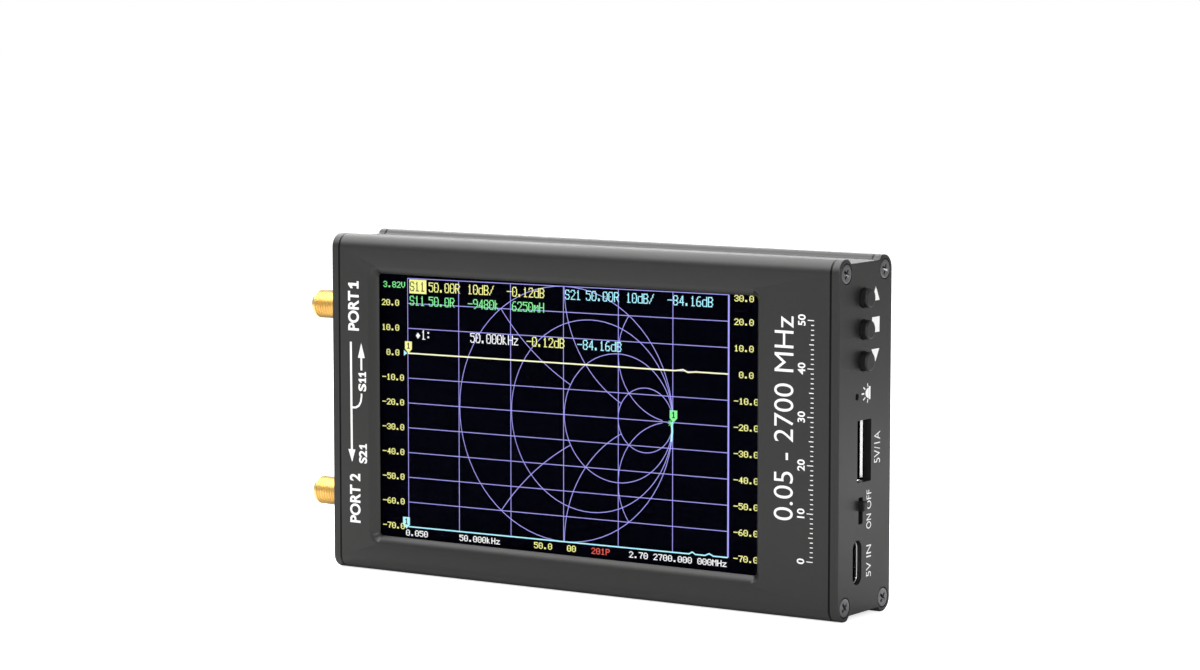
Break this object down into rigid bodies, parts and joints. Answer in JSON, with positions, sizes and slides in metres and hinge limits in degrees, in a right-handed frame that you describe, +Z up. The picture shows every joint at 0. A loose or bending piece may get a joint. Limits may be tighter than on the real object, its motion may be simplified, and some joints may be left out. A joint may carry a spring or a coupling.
{
  "type": "antenna analyzer",
  "caption": "Handheld antenna analyzer in a grooved extruded aluminium case, with a colour screen, threaded coaxial ports on one end and buttons, switch and sockets on the other.",
  "frame": {"origin": "bottom centre of the whole object, on the surface that the case's lower lobes stand on", "axes": "+X from the port end to the control end, +Y from the screen to the back, +Z up"},
  "size_m": [0.1428, 0.022, 0.075],
  "materials": {
    "case_aluminium": "bead-blasted and anodised dark grey",
    "black_steel": "black zinc-plated steel",
    "foam": "closed-cell foam",
    "touch_glass": "gloss",
    "lcd_glass": "satin",
    "tray_plastic": "satin",
    "ribbon_film": "satin",
    "board_laminate": "satin solder resist",
    "package_resin": "matt",
    "tinned_steel": "bright tin plate",
    "gilt_brass": "gold plated",
    "white_insulator": "satin",
    "black_plastic": "satin",
    "lamp_lens": "clear",
    "pouch_foil": "satin foil",
    "lead_cover": "satin"
  },
  "bodies": {
    "housing": {"front_shell": "case_aluminium", "rear_shell": "case_aluminium", "port_end_plate": "case_aluminium", "control_end_plate": "case_aluminium", "port_plate_screws": "black_steel", "control_plate_screws": "black_steel", "display_gasket": "foam", "display_cushions": "foam", "battery_tape": "foam", "touch_panel": "touch_glass", "lcd_cell": "lcd_glass", "backlight": "tray_plastic", "display_ribbon": "ribbon_film", "main_board": "board_laminate", "processor": "package_resin", "memory_chip": "package_resin", "charger_chip": "package_resin", "clock_crystal": "package_resin", "boost_inductor": "package_resin", "port_1_shield": "tinned_steel", "port_2_shield": "tinned_steel", "source_shield": "tinned_steel", "power_switch_case": "tinned_steel", "usb_a_shell": "tinned_steel", "usb_c_shell": "tinned_steel", "port_1_body": "gilt_brass", "port_1_contact": "gilt_brass", "port_1_washer": "gilt_brass", "port_1_nut": "gilt_brass", "port_2_body": "gilt_brass", "port_2_contact": "gilt_brass", "port_2_washer": "gilt_brass", "port_2_nut": "gilt_brass", "port_1_insulator": "white_insulator", "port_2_insulator": "white_insulator", "battery_plug": "white_insulator", "battery_socket": "white_insulator", "ribbon_socket": "black_plastic", "usb_a_insert": "black_plastic", "usb_c_insert": "black_plastic", "power_switch_base": "black_plastic", "up_key_switch": "black_plastic", "enter_key_switch": "black_plastic", "down_key_switch": "black_plastic", "status_lamp": "lamp_lens", "battery_cell": "pouch_foil", "battery_leads": "lead_cover"},
    "up_button": {"up_button_cap": "black_plastic", "up_key_plunger": "black_plastic"},
    "enter_button": {"enter_button_cap": "black_plastic", "enter_key_plunger": "black_plastic"},
    "down_button": {"down_button_cap": "black_plastic", "down_key_plunger": "black_plastic"},
    "power_slider": {"power_switch_slider": "black_plastic"}
  },
  "joints": [
    {"name": "up_button_press", "type": "slide", "parent": "housing", "child": "up_button", "axis": [-1, 0, 0], "range_m": [0, 0.00035], "stiffness_N_per_m": 3000, "springref_m": -0.0001},
    {"name": "enter_button_press", "type": "slide", "parent": "housing", "child": "enter_button", "axis": [-1, 0, 0], "range_m": [0, 0.00035], "stiffness_N_per_m": 3000, "springref_m": -0.0001},
    {"name": "down_button_press", "type": "slide", "parent": "housing", "child": "down_button", "axis": [-1, 0, 0], "range_m": [0, 0.00035], "stiffness_N_per_m": 3000, "springref_m": -0.0001},
    {"name": "power_switch_slide", "type": "slide", "parent": "housing", "child": "power_slider", "axis": [0, 0, -1], "range_m": [0, 0.002]}
  ]
}
